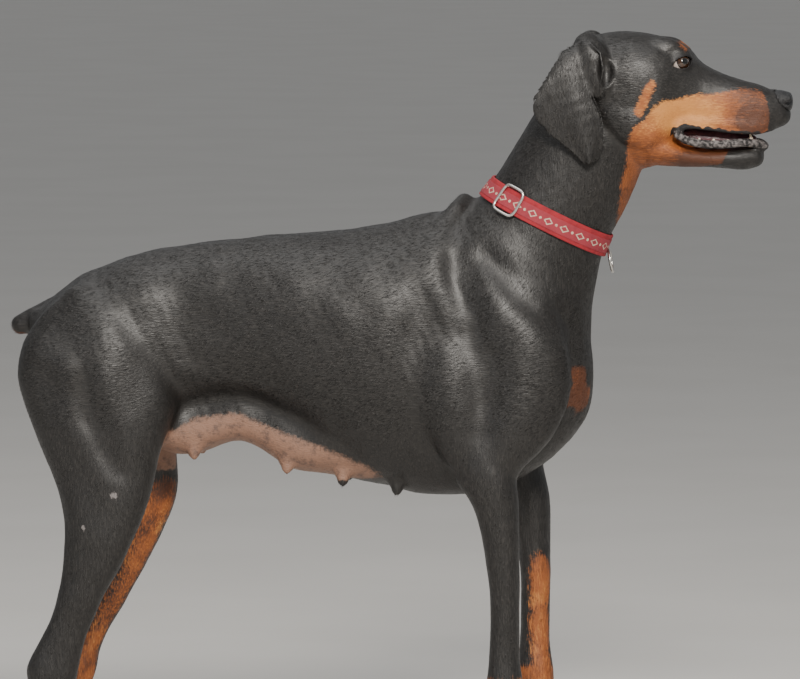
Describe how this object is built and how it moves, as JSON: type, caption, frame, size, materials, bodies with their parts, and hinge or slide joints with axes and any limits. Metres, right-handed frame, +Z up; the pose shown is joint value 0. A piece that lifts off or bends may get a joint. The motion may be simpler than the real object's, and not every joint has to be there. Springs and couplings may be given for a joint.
{
  "type": "doberman pinscher",
  "caption": "Life-size still model of a standing doberman pinscher, black and rust, with drop ears, a docked tail and a flat red collar.",
  "frame": {"origin": "on the floor, at the centre of the outer box seen from above, between the four feet", "axes": "+X towards the nose, +Y towards the animal's left side, +Z up"},
  "size_m": [0.8733, 0.2096, 0.8548],
  "materials": {
    "coat": "short glossy black hair",
    "rust": "short rust hair, partly black",
    "leather": "moist black pebbled skin",
    "tongue": "moist",
    "eye": "clear over dark brown",
    "webbing": "woven red webbing",
    "steel": "polished wire"
  },
  "bodies": {
    "root": {"head": "coat", "lower_jaw": "rust", "tongue": "tongue", "nose": "leather", "eye_right": "eye", "eye_left": "eye", "ear_right": "coat", "ear_left": "coat", "neck": "coat", "torso": "coat", "tail": "coat", "fore_leg_right": "coat", "fore_leg_left": "coat", "hind_leg_right": "coat", "hind_leg_left": "coat", "fore_paw_right": "rust", "fore_paw_left": "rust", "hind_paw_right": "rust", "hind_paw_left": "rust", "collar": "webbing", "collar_slide": "steel", "collar_ring": "steel"}
  },
  "joints": []
}
